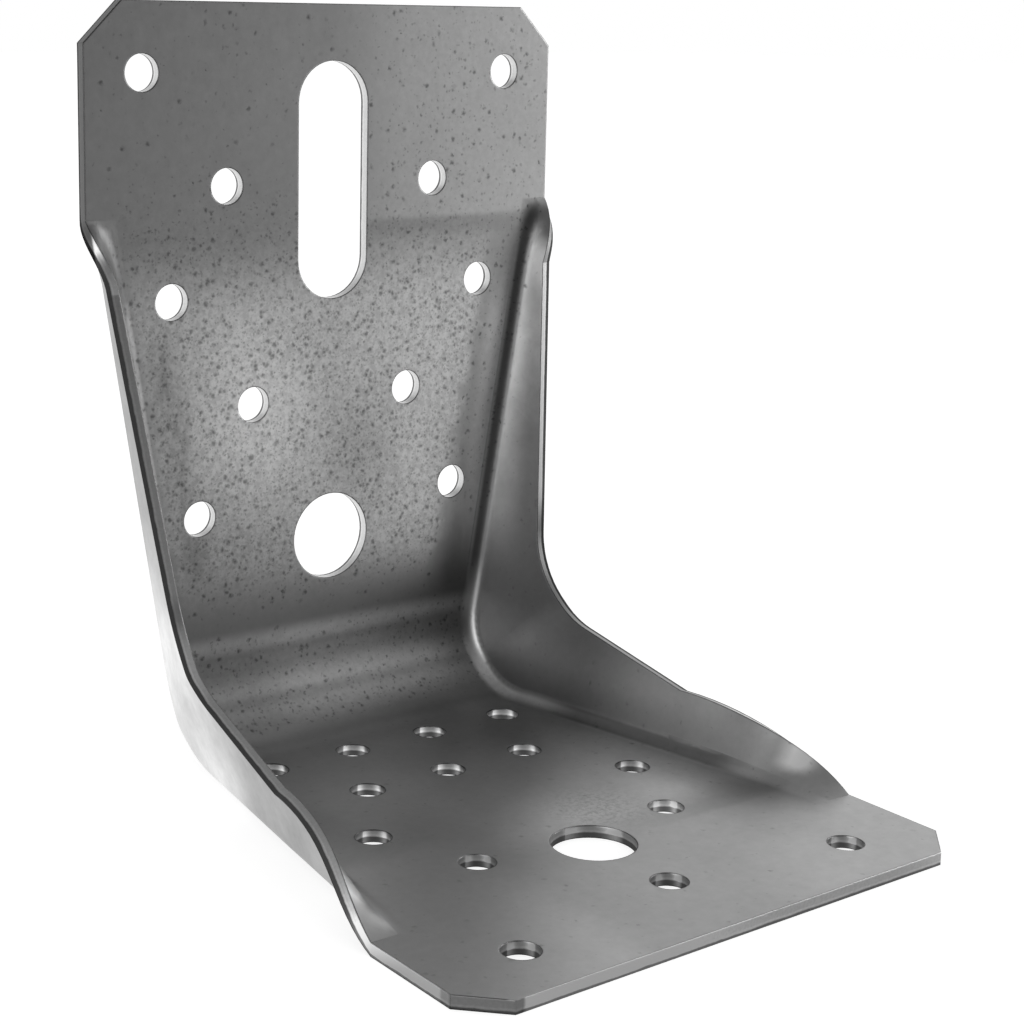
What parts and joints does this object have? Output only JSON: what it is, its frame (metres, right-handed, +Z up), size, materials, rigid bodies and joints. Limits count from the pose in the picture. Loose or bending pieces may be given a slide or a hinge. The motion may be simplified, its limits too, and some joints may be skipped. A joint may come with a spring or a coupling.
{
  "type": "angle bracket",
  "caption": "Pressed galvanised steel angle bracket with nail and bolt holes, a slot, and edge flanges that stiffen the corner and run out into both legs.",
  "frame": {"origin": "middle of the footprint, on the surface that the floor leg rests on", "axes": "+X across the width, +Y from the front edge of the floor leg towards the back of the upright, +Z up"},
  "size_m": [0.0704, 0.0786, 0.0935],
  "materials": {
    "steel": "galvanised, satin with fine dark specks"
  },
  "bodies": {
    "root": {"bracket": "steel"}
  },
  "joints": []
}
